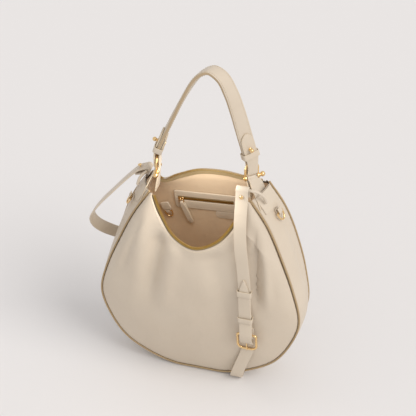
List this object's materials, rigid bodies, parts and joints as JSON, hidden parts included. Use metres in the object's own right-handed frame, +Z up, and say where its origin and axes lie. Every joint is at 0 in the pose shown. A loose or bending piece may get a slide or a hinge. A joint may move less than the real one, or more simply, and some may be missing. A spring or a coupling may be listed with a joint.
{
  "type": "hobo bag",
  "caption": "Slouchy leather hobo bag with a padded top handle on screw shackles, an open zip mouth, piped gusset and a flat crossbody strap with a buckle.",
  "frame": {"origin": "on the ground under the middle of the bag's body", "axes": "+Z up, -Y towards the front panel, +X to the right as seen from the front"},
  "size_m": [0.3825, 0.1553, 0.5872],
  "materials": {
    "cream_leather": "soft grained cream leather, satin",
    "tan_edge": "tan painted leather piping",
    "taupe_lining": "woven taupe cotton lining",
    "zip_cloth": "woven zip tape",
    "gold_zip": "antique gold zip chain",
    "gold_fittings": "polished light gold plating",
    "cotton_core": "twisted cotton filler"
  },
  "bodies": {
    "root": {"back_panel": "cream_leather", "back_piping": "tan_edge", "buckle_frame": "gold_fittings", "crossbody_long_strap": "cream_leather", "crossbody_short_strap": "cream_leather", "front_panel": "cream_leather", "front_piping": "tan_edge", "gusset": "cream_leather", "gusset_patch_left": "cream_leather", "gusset_patch_right": "cream_leather", "key_ring_loop": "cream_leather", "key_tab": "cream_leather", "label_patch": "cream_leather", "lining": "taupe_lining", "main_zip_slider": "gold_fittings", "pocket_bag": "taupe_lining", "pocket_trim": "cream_leather", "pocket_zip_tape": "zip_cloth", "pocket_zip_teeth": "gold_zip", "side_ring_tab_left": "cream_leather", "side_ring_tab_right": "cream_leather", "strap_anchor_left": "cream_leather", "strap_anchor_right": "cream_leather", "strap_keeper_upper": "cream_leather", "strap_rivet_left": "gold_fittings", "strap_rivet_right": "gold_fittings", "zip_tape_back": "zip_cloth", "zip_tape_front": "zip_cloth", "zip_teeth_back": "gold_zip", "zip_teeth_front": "gold_zip"},
    "handle": {"handle_cover": "cream_leather", "handle_core": "cotton_core", "handle_tab_left": "cream_leather", "handle_keeper_left": "cream_leather", "handle_stud_left": "gold_fittings", "shackle_bow_left": "gold_fittings", "shackle_pin_left": "gold_fittings", "chape_left": "cream_leather", "handle_tab_right": "cream_leather", "handle_keeper_right": "cream_leather", "handle_stud_right": "gold_fittings", "shackle_bow_right": "gold_fittings", "shackle_pin_right": "gold_fittings", "chape_right": "cream_leather"},
    "side_ring_left": {"side_ring_left": "gold_fittings"},
    "side_ring_right": {"side_ring_right": "gold_fittings"},
    "key_ring": {"key_ring": "gold_fittings"},
    "main_zip_pull": {"main_zip_pull": "gold_fittings"},
    "pocket_slider": {"pocket_slider": "gold_fittings"},
    "buckle_prong": {"buckle_prong": "gold_fittings"},
    "strap_keeper_lower": {"strap_keeper_lower": "cream_leather"},
    "pocket_pull": {"pocket_pull": "gold_fittings", "pocket_pull_tab": "cream_leather"}
  },
  "joints": [
    {"name": "handle_swing", "type": "hinge", "parent": "root", "child": "handle", "pos_m": [0, 0, 0.381], "axis": [0.997, 0, 0.0768], "range_deg": [-75, 30]},
    {"name": "side_ring_left_swing", "type": "hinge", "parent": "root", "child": "side_ring_left", "pos_m": [-0.12598, -0.00112, 0.32374], "axis": [-0.2037, 0.9726, 0.1123], "range_deg": [0, 80]},
    {"name": "side_ring_right_swing", "type": "hinge", "parent": "root", "child": "side_ring_right", "pos_m": [0.12593, -0.0012, 0.34178], "axis": [-0.217, -0.9683, -0.1235], "range_deg": [0, 80]},
    {"name": "key_ring_swing", "type": "hinge", "parent": "root", "child": "key_ring", "pos_m": [-0.07883, 0.055, 0.26372], "axis": [-0.9373, 0.0496, -0.345], "range_deg": [0, 80]},
    {"name": "main_zip_pull_swing", "type": "hinge", "parent": "root", "child": "main_zip_pull", "pos_m": [0.07908, 0.02944, 0.37266], "axis": [-0.9407, 0.3181, -0.1183], "range_deg": [0, 60]},
    {"name": "pocket_zip", "type": "slide", "parent": "root", "child": "pocket_slider", "axis": [0.9979, 0, 0.0654], "range_m": [0, 0.084]},
    {"name": "pocket_pull_swing", "type": "hinge", "parent": "pocket_slider", "child": "pocket_pull", "pos_m": [-0.05432, 0.04643, 0.2984], "axis": [-0.9496, 0.0435, -0.3106], "range_deg": [0, 90]},
    {"name": "buckle_prong_swing", "type": "hinge", "parent": "root", "child": "buckle_prong", "pos_m": [0.0925, -0.0706, 0.13], "axis": [-1, 0, 0], "range_deg": [0, 4]},
    {"name": "keeper_slide", "type": "slide", "parent": "root", "child": "strap_keeper_lower", "axis": [-0.069, -0.0307, 0.9971], "range_m": [0, 0.012]}
  ]
}
